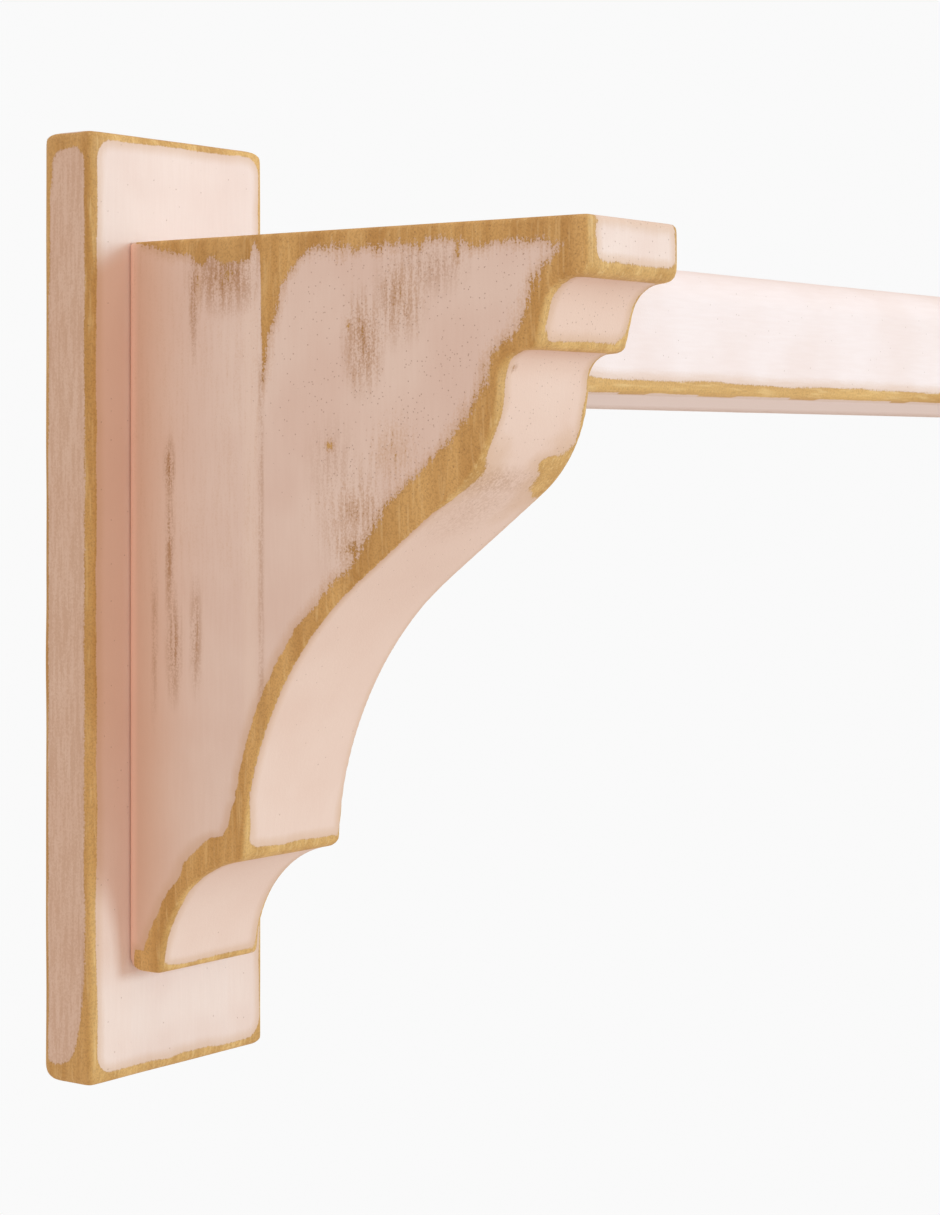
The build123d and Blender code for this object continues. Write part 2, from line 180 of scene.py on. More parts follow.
FRONT_CORNER_INSET = 5.0  # corners of the moulded front are looked for this far in from its sides
SHARP_BY_PLATE = 2.5 * MM  # the corbel keeps its sharp shape this close to the back plate
UNRUBBED_BY_PLATE = 3.0
COVERING = 2.0  # a depth of paint that covers the wood
BOUNCE_GLOW_REACH = 3.4  # painted glow of light bounced into the corner against the back plate, a brighter, deeper pink out to about this far
PAINTED_SHADE_REACH = 24.0  # painted shade: a darker, warmer tone beside the back plate, down to about a third this far from it
PALE_BAND = (4.5, 3.6)  # behind the seam: its middle and its half width
SEAM_LINE_WIDTH = 0.9
SEAM_LINE_STRENGTH = 0.5
SEAM_LINE_START = 40  # down from the top
SIDE_RAGGED_OUT = ([20, 60, 95, 150], [0.8, 0.8, 1.3, 1.1])
SIDE_RAGGED_DOWN = ([0, 105, 135, 200], [1.0, 0.9, 0.2, 0.15])
FRONT_RAGGED = ([0, 60, 100], [0.28, 0.22, 0.12])
SIDE_STAINS = [  # centre, half size, strength
    ((19, 78), (2.4, 10), 1.0),
    ((19, 106), (2.0, 26), 0.8),
    ((12, 134), (1.6, 28), 0.5),
    ((21, 138), (3.6, 18), 0.8),
    ((31, 134), (2.6, 18), 0.7),
    ((30, 20), (2.0, 20), 0.8),
    ((44, 13), (15, 12), 0.8),
    ((102, 96), (18, 20), 0.3),
    ((130, 14), (14, 9), 0.5),
    ((117, 24), (11, 14), 0.5),
    ((103, 37), (8, 16), 0.6),
    ((90, 76), (10, 14), 0.3),
]
FRONT_STAINS = [  # centre (across towards the outer side, down), half size, strength
    ((8, 82), (20, 5), 0.5),
    ((6, 90), (18, 10), 0.3),
    ((18, 46), (1.2, 1.6), 1.0),
    ((-22, 38), (1.3, 1.3), 1.0),
]
# painted shade on the top and the moulded front, none near the top, by level down
FRONT_PAINTED_SHADE = ([12, 20, 40, 60, 150, 250], [0.0, 0.7, 0.7, 0.55, 0.5, 0.4])
FRONT_PAINT_CORNER = 4.5  # radius of the paint's border in the corners of each moulded face
PITS_OUT = ([20, 150], [0.15, 1.0])
PITS_DOWN = ([60, 130], [1, 0.2])

# ---- Wear on the back plates, in mm ------------------------------------------------------
PLATE_TOP_WEAR = 2.8
PLATE_FOOT_WEAR = 3.6
PLATE_FRONT_WEAR = (3.2, 2.4)  # along the outer and the inner edge of the front
PLATE_SIDE_PAINT = 0.95  # thin paint all over the narrow sides of the plates
PLATE_FRONT_CORNER = 7.0
PLATE_SIDE_CORNER = 5.0
PLATE_WEDGE = ([0, 8, 16, 28, 40, 330], [10, 8.5, 6, 3.4, 2.6, 2.8])  # from the front, by height
PLATE_REAR_WEAR = ([0, 30, 150], [4.5, 3.2, 1.6])
PLATE_BACK_PAINT = 3.0
PLATE_ARRIS_CONVEXITY = 0.5 * MM
PLATE_ARRIS_WEAR = 1.0  # how far past the paint's border an arris is rubbed at least
# painted shade: everywhere but its front, a plate is darkened at least this much
PLATE_SIDE_PAINTED_SHADE = 0.3
PLATE_REAR_SMUDGE = 0.8
PLATE_SMUDGE_REACH = 5.0  # the smudge is down to about a third this far from the wall
PLATE_SMUDGE_DOWN = ([40, 170], [1, 0.2])
PLATE_SHADOW_BESIDE = ([0, 3, 16, 24], [0.5, 0.8, 1.0, 1.0])  # painted shadow of the corbel on the plate's front, by distance from the corbel
PLATE_SHADOW_DOWN = ([-2, 6, 150, 235, 250], [0, 1, 1, 0.35, 0.1])  # and by level
PLATE_SHADOW_SLOPE = 0.45  # the painted shadow starts lower the further it is from the corbel

# ---- Wear on the shelf, in mm ------------------------------------------------------------
SHELF_FRONT_WEAR = 5.2  # up from the bottom arris
SHELF_UNDER_WEAR = 1.4
SHELF_REAR_WEAR = 3.0
SHELF_UNDER_SHADE = ([15, 70], [0.8, 0])  # painted shade under the shelf, darker towards the wall, by distance from the rear edge
SHELF_FRONT_FACING = 0.5  # a normal that points this far forward belongs to the front
SHELF_TOP_FACING = 0.3  # and one this far up to the top, with most of the round-over


# ---- Camera and stage --------------------------------------------------------------------
def make_camera():
    """Level camera to the left of the left bracket, a little below the shelf."""
    data = bpy.data.cameras.new("camera")
    data.sensor_width = SENSOR_WIDTH
    data.lens = LENS
    data.shift_y = SHIFT_UP
    data.clip_start = 0.05
    data.clip_end = 60.0
    camera = bpy.data.objects.new("camera", data)
    camera.location = (
        plate_low.x - LEFT_OF_PLATE,
        plate_low.y - IN_FRONT_OF_PLATE,
        CORBEL_TOP - BELOW_CORBEL_TOP,
    )
    camera.rotation_mode = "QUATERNION"
    camera.rotation_quaternion = Vector(CAMERA_HEADING).to_track_quat("-Z", "Y")
    bpy.context.scene.collection.objects.link(camera)
    bpy.context.scene.camera = camera


def area_light(name, place, target, size, watts, colour):
    """Soft square light that faces target."""
    data = bpy.data.lights.new(name, "AREA")
    data.shape = "SQUARE"
    data.size = size
    data.energy = watts
    data.color = colour
    light = bpy.data.objects.new(name, data)
    light.location = place
    light.rotation_mode = "QUATERNION"
    light.rotation_quaternion = (Vector(target) - Vector(place)).to_track_quat("-Z", "Y")
    bpy.context.scene.collection.objects.link(light)


def seen_and_cast(tree, kind, output):
    """An even pale tone as the camera sees it, while the light that it casts is the peach-tinted
    fill.
    """
    seen = tree.nodes.new(kind)
    seen.inputs["Color"].default_value = (PALE, PALE, PALE, 1)
    cast = tree.nodes.new(kind)
    cast.inputs["Color"].default_value = FILL_COLOUR
    cast.inputs["Strength"].default_value = FILL_STRENGTH
    path = tree.nodes.new("ShaderNodeLightPath")
    mix = tree.nodes.new("ShaderNodeMixShader")
    tree.links.new(path.outputs["Is Camera Ray"], mix.inputs[0])
    tree.links.new(cast.outputs[0], mix.inputs[1])
    tree.links.new(seen.outputs[0], mix.inputs[2])
    tree.links.new(mix.outputs[0], tree.nodes[output].inputs["Surface"])


def make_stage():
    """Pale floor, surroundings of the same tone, a peach-tinted fill and a cooler key from the
    front.
    """
    scene = bpy.context.scene
    scene.view_settings.view_transform = "Standard"
    world = bpy.data.worlds.new("studio")
    scene.world = world
    world.use_nodes = True
    tree = world.node_tree
    seen_and_cast(tree, "ShaderNodeBackground", "World Output")

    mesh = bpy.data.meshes.new("floor")
    half = FLOOR_HALF_SIZE
    corners = ((-half, -half), (half, -half), (half, half), (-half, half))
    mesh.from_pydata([(x, y, FLOOR_LEVEL) for x, y in corners], [], [(0, 1, 2, 3)])
    floor = bpy.data.objects.new("floor", mesh)
    scene.collection.objects.link(floor)
    material = bpy.data.materials.new("floor")
    material.use_nodes = True
    seen_and_cast(material.node_tree, "ShaderNodeEmission", "Material Output")
    mesh.materials.append(material)

    target = (plate_high.x, PLATE_FACE_Y, CORBEL_TOP - LIGHT_TARGET_DROP)
    area_light("key", KEY_PLACE, target, KEY_SIZE, KEY_WATTS, KEY_COLOUR)
    area_light("top", TOP_PLACE, target, TOP_SIZE, TOP_WATTS, TOP_COLOUR)


# ---- Meshes ------------------------------------------------------------------------------
def vertex_array(mesh):
    """Vertex positions as an array, in metres."""
    points = np.empty(len(mesh.vertices) * 3)
    mesh.vertices.foreach_get("co", points)
    return points.reshape(-1, 3)


def edge_array(mesh):
    """Edges as pairs of vertex numbers."""
    pairs = np.empty(len(mesh.edges) * 2, dtype=np.int64)
    mesh.edges.foreach_get("vertices", pairs)
    return pairs.reshape(-1, 2)


def normal_array(mesh):
    """Vertex normals as an array."""
    normals = np.empty(len(mesh.vertices) * 3)
    mesh.vertices.foreach_get("normal", normals)
    return normals.reshape(-1, 3)


def fine_mesh(name, nodes, voxel, seam_y=None):
    """Closed, evenly fine mesh of the CAD nodes taken together, without the faces at seam_y."""
    bm = bmesh.new()
    for node in nodes:
        bm.from_mesh(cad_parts[node].data)
    if seam_y is not None:
        on_seam = [f for f in bm.faces if all(abs(v.co.y - seam_y) < 1e-6 for v in f.verts)]
        bmesh.ops.delete(bm, geom=on_seam, context="FACES")
    bmesh.ops.remove_doubles(bm, verts=bm.verts, dist=1e-6)
    coarse = bpy.data.meshes.new(name + "_coarse")
    bm.to_mesh(coarse)
    bm.free()
    holder = bpy.data.objects.new(name + "_holder", coarse)
    bpy.context.scene.collection.objects.link(holder)
    remesh = holder.modifiers.new("remesh", "REMESH")
    remesh.mode = "VOXEL"
    remesh.voxel_size = voxel
    graph = bpy.context.evaluated_depsgraph_get()
    mesh = bpy.data.meshes.new_from_object(holder.evaluated_get(graph))
    mesh.name = name
    bpy.data.objects.remove(holder)
    bpy.data.meshes.remove(coarse)
    return mesh


def spread(values, edges, steps, share=0.5):
    """Values moved towards the mean of their neighbours, steps times."""
    count = len(values)
    a, b = edges.T
    degree = np.bincount(a, minlength=count) + np.bincount(b, minlength=count)
    columns = values.reshape(count, -1).T.copy()
    for _ in range(steps):
        for column in columns:
            total = np.bincount(a, column[b], count) + np.bincount(b, column[a], count)
            column += share * (total / degree - column)
    return columns.T.reshape(values.shape)


def fair(points, edges, rounds=4):
    """Smooths out the voxel steps without shrinking the shape."""
    for _ in range(rounds):
        points = spread(points, edges, 1, 0.5)
        points = spread(points, edges, 1, -0.52)
    return points


def noise_at(points, size, seed):
    """Smooth noise from -1 to 1 with features of the given size in metres, at each point."""
    shift = Vector((seed * 7.31, seed * 3.17, seed * 5.59))
    return np.array([noise.noise(Vector(p) + shift) for p in points / size])


def distance_to(points, targets):
    """Distance from each point to the nearest target, in metres."""
    tree = KDTree(len(targets))
    for index, place in enumerate(targets):
        tree.insert(place, index)
    tree.balance()
    return np.array([tree.find(p)[2] for p in points])


def put_attributes(mesh, **kinds):
    """Stores what the painted material reads at each vertex: arrays, or one value for all."""
    for name, values in kinds.items():
        filled = np.broadcast_to(values, len(mesh.vertices)).astype(np.float32)
        attribute = mesh.attributes.new(name, "FLOAT", "POINT")
        attribute.data.foreach_set("value", filled)


def round_arrises(mesh, seed, most, held_from=1.0):
    """Rounds the arrises by hand-like amounts; returns points, normals and how convex each is.

    Convexity is in metres: about 1 mm on an arris, 0.4 mm on a small radius, negative in a cove.
    Points with y above held_from keep their sharp arrises.
    """
    edges = edge_array(mesh)
    points = vertex_array(mesh)
    held = (points[:, 1] > held_from)[:, None]
    points = np.where(held, points, fair(points, edges))
    mesh.vertices.foreach_set("co", points.ravel())
    mesh.update()
    normals = normal_array(mesh)
    soft = spread(points, edges, SOFTENING_STEPS)
    convexity = -np.einsum("ij,ij->i", soft - points, normals)
    share = np.clip(convexity / (0.5 * MM), 0, 1)
    patchy = np.clip(0.55 + 0.6 * noise_at(points, 28 * MM, seed), 0.1, 1)
    points = points + np.where(held, 0, soft - points) * (share * patchy * most)[:, None]
    mesh.vertices.foreach_set("co", points.ravel())
    mesh.update()
    return points, normal_array(mesh), convexity


def rounded_corner(first, second, radius):
    """Depth inside a patch whose two borders, at first = 0 and second = 0, meet in an arc."""
    inner = radius - np.hypot(np.maximum(radius - first, 0), np.maximum(radius - second, 0))
    return np.where((first < radius) & (second < radius), inner, np.minimum(first, second))


def cut_corner(first, second, radius):
    """Moves the places beyond an arc of the given radius, tangent to both borders, onto it."""
    beyond = np.hypot(radius - first, radius - second)
    outside = (first < radius) & (second < radius) & (beyond > radius)
    share = np.where(outside, radius / beyond, 1.0)
    return radius - (radius - first) * share, radius - (radius - second) * share


def in_ellipse(across, along, centre, half_size):
    """0 at the centre of an ellipse, 1 on its edge and more outside."""
    return np.hypot((across - centre[0]) / half_size[0], (along - centre[1]) / half_size[1])


def with_patches(rub, across, down, patches, wobble):
    """Depth of paint with rubbed patches added, each an uneven ellipse."""
    for centre, half_size, depth in patches:
        patch = in_ellipse(across, down, centre, half_size) * (1 + 0.3 * wobble)
        rub = np.minimum(rub, (depth + PAINTED) * (patch - 1) + PAINTED)
    return rub


def stained(across, down, stains):
    """How strongly the paint is stained, from 0 to 1."""
    total = np.zeros(len(across))
    for centre, half_size, strength in stains:
        mark = strength * np.clip(1.3 - in_ellipse(across, down, centre, half_size), 0, 1)
        total = np.maximum(total, mark)
    return total


def add_piece(name, mesh, material, nodes):
    """Puts a finished mesh into the scene in place of its CAD nodes."""
    mesh.materials.clear()
    mesh.materials.append(material)
    mesh.polygons.foreach_set("use_smooth", [True] * len(mesh.polygons))
    piece = bpy.data.objects.new(name, mesh)
    bpy.context.scene.collection.objects.link(piece)
    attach(piece, "root")
    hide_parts(*nodes)


def half_mesh(mesh, name, seam_y, keep_front):
    """The part of a mesh in front of or behind seam_y, closed with a flat face."""
    bm = bmesh.new()
    bm.from_mesh(mesh)
    cut = bmesh.ops.bisect_plane(
        bm, geom=bm.verts[:] + bm.edges[:] + bm.faces[:], dist=1e-7,
        plane_co=(0, seam_y, 0), plane_no=(0, 1, 0),
        clear_outer=keep_front, clear_inner=not keep_front,
    )
    rim = [e for e in cut["geom_cut"] if isinstance(e, bmesh.types.BMEdge)]
    for edge in rim:
        edge.smooth = False
    bmesh.ops.triangle_fill(bm, use_beauty=True, use_dissolve=False, edges=rim)
    bmesh.ops.recalc_face_normals(bm, faces=bm.faces[:])
    half = bpy.data.meshes.new(name)
    bm.to_mesh(half)
    bm.free()
    return half


def corbel_side_wear(out, down, gap, wobble):
    """Depth of paint, in mm from the rubbed border, on the flat sides of a corbel."""
    top = down - np.interp(out, *TOP_WEAR) * (1 + 0.45 * wobble)
    edge = gap - np.interp(down, *PROFILE_WEAR) * (1 + 0.1 * wobble)
    uneven = np.interp(down, [90, 112], [0.7, 0.15]) * wobble
    edge = np.minimum(edge, 0.75 * (np.interp(down, *BORDER) - out) + uneven)
    beside_seam = np.where(out > SEAM, out - SEAM - np.interp(down, *SEAM_WEAR), PAINTED)
    rub = np.minimum(np.minimum(top, edge), beside_seam)
    return with_patches(rub, out, down, SIDE_PATCHES, wobble)


def corbel_front_wear(down, across, half_width, corner_gap, convexity, wobble):
    """Depth of paint, in mm from the rubbed border, on the moulded front of a corbel."""
    near_width = np.interp(down, *FRONT_WEAR)
    side_width = np.where(across > 0, near_width, np.interp(down, *FAR_FRONT_WEAR))
    side_gap = half_width - np.abs(across) - side_width * (1 + 0.3 * wobble)
    corner_width = np.interp(down, *CORNER_WEAR) + 0.6 * wobble
    sheltered = 3.0 * np.clip(-convexity / (0.12 * MM), 0, 1)
    rub = rounded_corner(side_gap, corner_gap - corner_width + sheltered, FRONT_PAINT_CORNER)
    return with_patches(rub, across, down, FRONT_PATCHES, wobble)


def make_corbel(side, material, seed):
    """Both boards of one corbel, worn as one and then parted at the glue line."""
    nodes = [side + "_corbel_rear_board", side + "_corbel_front_board"]
    mesh = fine_mesh(side + "_corbel", nodes, CORBEL_VOXEL, GLUE_Y)
    held_from = PLATE_FACE_Y - SHARP_BY_PLATE
    points, normals, convexity = round_arrises(mesh, seed, CORBEL_ROUNDING, held_from)
    low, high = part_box(nodes[0])
    outwards = -1.0 if side == "left" else 1.0
    half_width = (high.x - low.x) / 2 / MM
    out = (PLATE_FACE_Y - points[:, 1]) / MM
    down = (CORBEL_TOP - points[:, 2]) / MM
    across = outwards * (points[:, 0] - (low.x + high.x) / 2) / MM
    on_side = np.abs(normals[:, 0]) > FLAT
    wobble = noise_at(points, 14 * MM, seed + 1) + 0.5 * noise_at(points, 5 * MM, seed + 2)

    clear = out > BESIDE_PLATE
    outline = (down > TOP_ARRIS) | (out > PROJECTION - NOSE_ARRIS)
    profile = (convexity > ARRIS_CONVEXITY) & clear & outline
    inset = np.abs(across) < half_width - FRONT_CORNER_INSET
    corner = (convexity > CORNER_CONVEXITY) & clear & inset
    gap = distance_to(points, points[profile]) / MM
    corner_gap = distance_to(points, points[corner]) / MM
    rub = np.where(
        on_side,
        corbel_side_wear(out, down, gap, wobble),
        corbel_front_wear(down, across, half_width, corner_gap, convexity, wobble),
    )
    rub = np.where(out < UNRUBBED_BY_PLATE, np.maximum(rub, COVERING), rub)
    side_ragged = np.interp(out, *SIDE_RAGGED_OUT) * np.interp(down, *SIDE_RAGGED_DOWN)
    ragged = np.where(on_side, side_ragged, np.interp(down, *FRONT_RAGGED))

    seam_line = SEAM_LINE_STRENGTH * np.exp(-(((out - SEAM) / SEAM_LINE_WIDTH) ** 2))
    seam_line = np.where(down > SEAM_LINE_START, seam_line, 0)
    side_stain = np.maximum(stained(out, down, SIDE_STAINS), seam_line)
    from_band = (out - SEAM + PALE_BAND[0]) / PALE_BAND[1]
    # painted shade on the sides, darkest against the back plate
    side_warmth = np.exp(-((out / PAINTED_SHADE_REACH) ** 2))
    put_attributes(
        mesh,
        rub=rub,
        ragged=ragged,
        stain=np.where(on_side, side_stain, stained(across, down, FRONT_STAINS)),
        # painted bounce glow on the sides, in the corner against the back plate
        salmon=np.where(on_side, np.exp(-((out / BOUNCE_GLOW_REACH) ** 4)), 0),
        warm=np.where(on_side, side_warmth, np.interp(down, *FRONT_PAINTED_SHADE)),
        pale=np.where(on_side, np.exp(-(from_band ** 4)), 0),
        pits=np.interp(out, *PITS_OUT) * np.interp(down, *PITS_DOWN),
    )
    for node, keep_front in zip(nodes, (False, True)):
        half = half_mesh(mesh, node + "_painted", GLUE_Y, keep_front)
        add_piece(node + "_painted", half, material, [node])
    bpy.data.meshes.remove(mesh)


def knock_off_corners(mesh, low, high, side):
    """Rounds the corners of a back plate nearest the shelf, and its rear edges at both ends."""
    points = vertex_array(mesh)
    edge, sideways = (high.x, -1.0) if side == "left" else (low.x, 1.0)
    ends = ((high.z, -1.0, PLATE_TOP_ROUNDING), (low.z, 1.0, PLATE_FOOT_ROUNDING))
    for level, inwards, (corner_radius, rear_radius) in ends:
        from_end = (points[:, 2] - level) * inwards
        from_edge = (points[:, 0] - edge) * sideways
        from_edge, from_end = cut_corner(from_edge, from_end, corner_radius * MM)
        from_wall, from_end = cut_corner(high.y - points[:, 1], from_end, rear_radius * MM)
        points[:, 0] = edge + from_edge * sideways
        points[:, 1] = high.y - from_wall
        points[:, 2] = level + from_end * inwards
    mesh.vertices.foreach_set("co", points.ravel())
    mesh.update()


def make_plate(side, material, seed):
    """One back plate."""
    node = side + "_back_plate"
    mesh = fine_mesh(node + "_painted", [node], PLATE_VOXEL)
    low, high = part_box(node)
    knock_off_corners(mesh, low, high, side)
    points, normals, convexity = round_arrises(mesh, seed, PLATE_ROUNDING)
    corbel_low, corbel_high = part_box(side + "_corbel_rear_board")
    outwards = -1.0 if side == "left" else 1.0
    across = outwards * (points[:, 0] - (low.x + high.x) / 2) / MM
    from_edge = (high.x - low.x) / 2 / MM - np.abs(across)
    below_top = (high.z - points[:, 2]) / MM
    above_foot = (points[:, 2] - low.z) / MM
    from_face = (points[:, 1] - low.y) / MM
    from_wall = (high.y - points[:, 1]) / MM
    wobble = noise_at(points, 22 * MM, seed + 1) + 0.4 * noise_at(points, 7 * MM, seed + 2)

    on_front = normals[:, 1] < -FLAT
    on_side = np.abs(normals[:, 0]) > FLAT
    on_back = normals[:, 1] > FLAT
    ends = np.minimum(below_top - PLATE_TOP_WEAR, above_foot - PLATE_FOOT_WEAR) - 1.0 * wobble
    front_width = np.where(across > 0, *PLATE_FRONT_WEAR)
    front = rounded_corner(from_edge - front_width - 0.8 * wobble, ends, PLATE_FRONT_CORNER)
    wedge = from_face - np.interp(above_foot, *PLATE_WEDGE)
    behind = from_wall - np.interp(below_top, *PLATE_REAR_WEAR) - 0.8 * wobble
    edge = rounded_corner(np.minimum(wedge, behind), ends - 3.0, PLATE_SIDE_CORNER)
    edge = np.minimum(edge, PLATE_SIDE_PAINT)
    rub = np.where(on_front, front, np.where(on_side, edge, COVERING))
    arris = convexity > PLATE_ARRIS_CONVEXITY
    rub = np.where(arris, np.minimum(rub, -PLATE_ARRIS_WEAR), rub)
    rub = np.where(on_back, PLATE_BACK_PAINT, rub)

    # painted shadow cast by the corbel on the front of the plate beside it, with a sloping top edge
    corbel_half = (corbel_high.x - corbel_low.x) / 2 / MM
    below_corbel_top = (corbel_high.z - points[:, 2]) / MM
    beside = np.abs(across) - corbel_half
    warm_level = below_corbel_top - PLATE_SHADOW_SLOPE * beside
    warm = np.interp(beside, *PLATE_SHADOW_BESIDE) * np.interp(warm_level, *PLATE_SHADOW_DOWN)
    rear_smudge = PLATE_REAR_SMUDGE * np.exp(-from_wall / PLATE_SMUDGE_REACH)
    rear_smudge = rear_smudge * np.interp(below_top, *PLATE_SMUDGE_DOWN)
    put_attributes(
        mesh,
        rub=rub,
        ragged=np.where(on_front, 0.14, 0.25),
        # real smudge near the wall, and painted shade everywhere but the front
        stain=np.where(on_front, 0.0, np.maximum(rear_smudge, PLATE_SIDE_PAINTED_SHADE)),
        salmon=0.0,
        warm=np.where(on_front & (beside > -1), warm, 0),
        pale=0.0,
        pits=0.12,
    )
    add_piece(node + "_painted", mesh, material, [node])


def make_shelf(material, seed):
    """The shelf board."""
    mesh = fine_mesh("shelf_board_painted", ["shelf_board"], SHELF_VOXEL)
    points, normals, _ = round_arrises(mesh, seed, SHELF_ROUNDING)
    wobble = noise_at(points, 60 * MM, seed + 1) + 0.4 * noise_at(points, 15 * MM, seed + 2)
    behind_front = (points[:, 1] - shelf_low.y) / MM
    from_rear = (shelf_high.y - points[:, 1]) / MM
    above_bottom = (points[:, 2] - shelf_low.z) / MM
    below_top = (shelf_high.z - points[:, 2]) / MM
    front_line = above_bottom - SHELF_FRONT_WEAR - 1.0 * wobble
    under_line = behind_front - SHELF_UNDER_WEAR - 0.4 * wobble
    rear_gap = np.hypot(from_rear, np.minimum(above_bottom, below_top))
    rear_line = rear_gap - SHELF_REAR_WEAR - 0.8 * wobble
    on_front = normals[:, 1] < -SHELF_FRONT_FACING
    on_top = normals[:, 2] > SHELF_TOP_FACING
    rub = np.where(on_front, front_line, np.minimum(under_line, rear_line))
    rub = np.where(on_top, np.maximum(rear_line, 0.0) + 1.0, rub)
    put_attributes(
        mesh,
        rub=rub,
        ragged=0.25,
        # painted shade on the underside, darker towards the wall
        stain=np.where(normals[:, 2] < -FLAT, np.interp(from_rear, *SHELF_UNDER_SHADE), 0),
        salmon=0.0,
        warm=0.0,
        pale=0.0,
        pits=0.1,
    )
    add_piece("shelf_board_painted", mesh, material, ["shelf_board"])


# ---- Materials ---------------------------------------------------------------------------
class Graph:
    """Short way to write a material's nodes."""

    def __init__(self, name):
        self.material = bpy.data.materials.new(name)
        self.material.use_nodes = True
        self.tree = self.material.node_tree
        self.shader = self.tree.nodes["Principled BSDF"]

    def put(self, value, socket):
        """Links a socket, or sets a plain value."""
        if isinstance(value, bpy.types.NodeSocket):
            self.tree.links.new(value, socket)
        elif value is not None:
            socket.default_value = value

    def node(self, kind, inputs=(), output=0, **settings):
        """Adds a node with its settings and inputs, and returns one of its outputs."""
        made = self.tree.nodes.new("ShaderNode" + kind)
        for key, value in settings.items():
            setattr(made, key, value)
        pairs = inputs.items() if isinstance(inputs, dict) else enumerate(inputs)
        for key, value in pairs:
            self.put(value, made.inputs[key])
        return made.outputs[output]

    def maths(self, operation, *values):
        """Result of one arithmetic step."""
        return self.node("Math", values, operation=operation)

    def blend(self, share, first, second):
        """Mixes two colours."""
        made = self.tree.nodes.new("ShaderNodeMix")
        made.data_type = "RGBA"
        for index, value in ((0, share), (6, first), (7, second)):
            self.put(value, made.inputs[index])
        return made.outputs[2]

    def ramp(self, value, low, high, start=0.0, end=1.0):
        """Value taken smoothly from start at low to end at high."""
        limits = {0: value, 1: low, 2: high, 3: start, 4: end}
        return self.node("MapRange", limits, interpolation_type="SMOOTHSTEP")

    def grain(self, places, stretch, scale, detail=3.0):
        """Noise drawn out by stretch."""
        scaled = self.node("VectorMath", {0: places, 1: stretch}, operation="MULTIPLY")
        return self.node("TexNoise", {"Vector": scaled, "Scale": scale, "Detail": detail})


def srgb(colour):
    """Colour as seen on screen, from 0 to 255, turned into the linear values that Blender uses."""
    def linear(value):
        value = value / 255
        return value / 12.92 if value <= 0.04045 else ((value + 0.055) / 1.055) ** 2.4
    return tuple(linear(value) for value in colour) + (1.0,)


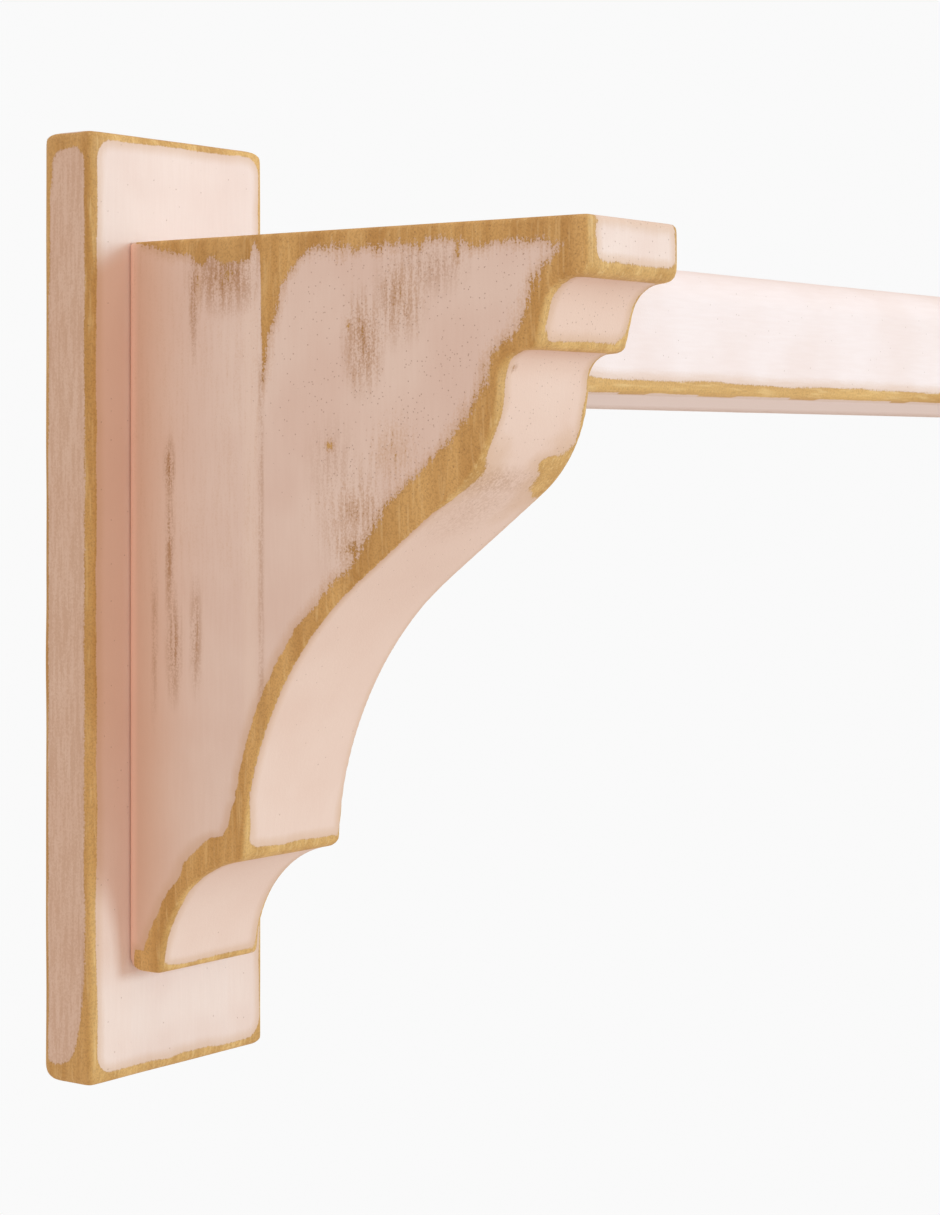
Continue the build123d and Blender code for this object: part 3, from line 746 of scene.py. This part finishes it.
def painted_wood(name, along, light_coat, dark_coat):
    """Paint over wood whose grain runs along the given axis.

    The mesh says how far each place lies inside the paint (rub, in mm), how ragged the border
    is there, where the paint is stained, where painted shade and shadow and a painted glow of
    bounced light lie on it, and where it is pale or pitted.
    """
    g = Graph(name)
    places = g.node("TexCoord", output="Object")
    stretch = [1.0, 1.0, 1.0]
    stretch["xyz".index(along)] = GRAIN_STRETCH
    streaks = g.grain(places, stretch, STREAKS)
    figure = g.grain(places, stretch, FIGURE, 4.0)
    fine = g.node("TexNoise", {"Vector": places, "Scale": SPECKS, "Detail": 3.0})
    clouds = g.node("TexNoise", {"Vector": places, "Scale": CLOUDS, "Detail": 2.0})
    rub, ragged, stain, salmon, warm, pale, pits = (
        g.node("Attribute", attribute_name=kind, output="Fac")
        for kind in ("rub", "ragged", "stain", "salmon", "warm", "pale", "pits")
    )

    streaky = g.maths("MULTIPLY_ADD", streaks, 6.0, -3.0)
    speckled = g.maths("MULTIPLY_ADD", fine, 7.0, -3.5)
    rough = g.maths("MULTIPLY", g.maths("ADD", streaky, speckled), ragged)
    depth = g.maths("ADD", rub, rough)
    softness = g.maths("MULTIPLY_ADD", ragged, 0.55, 0.2)
    paint = g.ramp(g.maths("DIVIDE", depth, softness), -1.0, 1.0)

    wood = g.blend(g.ramp(figure, 0.32, 0.68), srgb(WOOD[0]), srgb(WOOD[1]))
    wood = g.blend(g.ramp(fine, 0.34, 0.58, 0.32, 0.0), wood, srgb(WOOD_PORES))
    wood = g.blend(g.ramp(streaks, 0.5, 0.72, 0.0, 0.4), wood, srgb(WOOD_GLEAM))
    # real stains, and painted shade under the shelf and on the plates
    wood = g.blend(g.maths("MULTIPLY", stain, 0.3), wood, srgb(WOOD_STAIN_AND_SHADE))

    coat = g.blend(g.ramp(clouds, 0.3, 0.7), srgb(dark_coat), srgb(light_coat))
    coat = g.blend(g.ramp(streaks, 0.35, 0.7, 0.06, 0.0), coat, srgb(BRUSH_MARKS))
    # painted shade and painted shadow: a darker, warmer tone
    coat = g.blend(g.maths("MULTIPLY", warm, 0.9), coat, srgb(PAINTED_SHADE_TONE))
    coat = g.blend(g.maths("MULTIPLY", pale, 0.4), coat, srgb(PALE_PAINT))
    # painted glow of light bounced into the corner against the back plate
    coat = g.blend(salmon, coat, srgb(BOUNCE_GLOW_PAINT))
    thin = g.ramp(depth, 0.2, 4.5, 0.45, 0.0)
    coat = g.blend(thin, coat, srgb(THIN_PAINT))
    # real smudges on the paint, and painted shade under the shelf and on the plates away from the
    # front
    smudge_and_shade = g.maths("MULTIPLY", stain, g.ramp(g.maths("ADD", streaks, fine), 0.8, 1.2, 1.0, 0.2))
    coat = g.blend(smudge_and_shade, coat, srgb(SMUDGE_AND_SHADE))
    colour = g.blend(paint, wood, coat)

    cells = g.tree.nodes.new("ShaderNodeTexVoronoi")
    cells.inputs["Scale"].default_value = PIT_CELLS
    g.put(places, cells.inputs["Vector"])
    lot = g.node("SeparateColor", [cells.outputs["Color"]])
    chosen = g.maths("LESS_THAN", lot, g.maths("MULTIPLY", pits, 0.6))
    dot = g.ramp(cells.outputs["Distance"], 0.06, 0.2, 1.0, 0.0)
    pit = g.maths("MULTIPLY", chosen, dot)
    colour = g.blend(g.maths("MULTIPLY", pit, 0.5), colour, srgb(PIT))
    g.put(colour, g.shader.inputs["Base Color"])
    sheen = g.ramp(clouds, 0.35, 0.65, 0.36, 0.46)
    g.put(g.maths("ADD", sheen, g.ramp(paint, 0.0, 1.0, 0.22, 0.0)), g.shader.inputs["Roughness"])

    height = g.maths("MULTIPLY_ADD", streaks, 0.2, paint)
    height = g.maths("ADD", height, g.maths("MULTIPLY", fine, 0.5))
    height = g.maths("SUBTRACT", height, pit)
    bump = g.node("Bump", {"Strength": 0.6, "Distance": 0.00018, "Height": height})
    g.put(bump, g.shader.inputs["Normal"])
    return g.material


def plain_metal(name, colour):
    """Plated steel."""
    g = Graph(name)
    places = g.node("TexCoord", output="Object")
    mottle = g.node("TexNoise", {"Vector": places, "Scale": STEEL_MOTTLE, "Detail": 3.0})
    dark = tuple(c * 0.75 for c in colour[:3]) + (1.0,)
    g.put(g.blend(g.ramp(mottle, 0.35, 0.65), dark, colour), g.shader.inputs["Base Color"])
    g.put(g.ramp(mottle, 0.3, 0.7, 0.28, 0.45), g.shader.inputs["Roughness"])
    g.shader.inputs["Metallic"].default_value = 1.0
    return g.material


def bare_wood(name, along):
    """Unpainted hardwood."""
    g = Graph(name)
    places = g.node("TexCoord", output="Object")
    stretch = [1.0, 1.0, 1.0]
    stretch["xyz".index(along)] = DOWEL_STRETCH
    streaks = g.grain(places, stretch, DOWEL_GRAIN)
    colour = g.blend(g.ramp(streaks, 0.3, 0.7), srgb(DOWEL_WOOD[0]), srgb(DOWEL_WOOD[1]))
    g.put(colour, g.shader.inputs["Base Color"])
    g.shader.inputs["Roughness"].default_value = 0.6
    return g.material


def dress(nodes, material):
    """Gives CAD nodes that stay in view a better material."""
    for node in nodes:
        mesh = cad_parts[node].data
        mesh.materials.clear()
        mesh.materials.append(material)


make_camera()
make_stage()
upright = painted_wood("painted_wood_upright", "z", *UPRIGHT_PAINT)
lengthwise = painted_wood("painted_wood_lengthwise", "x", *SHELF_PAINT)
for seed, side in enumerate(("left", "right")):
    make_corbel(side, upright, 11 + seed * 10)
    make_plate(side, upright, 15 + seed * 10)
make_shelf(lengthwise, 31)

sides = ("left", "right")
dress([side + "_shelf_dowels" for side in sides], bare_wood("dowel_wood", "x"))
dress([side + "_keyhole_hanger" for side in sides], plain_metal("hanger_steel", srgb(HANGER_STEEL)))
screws = [side + kind for side in sides for kind in ("_plate_screws", "_hanger_screws")]
dress(screws, plain_metal("screw_steel", srgb(SCREW_STEEL)))
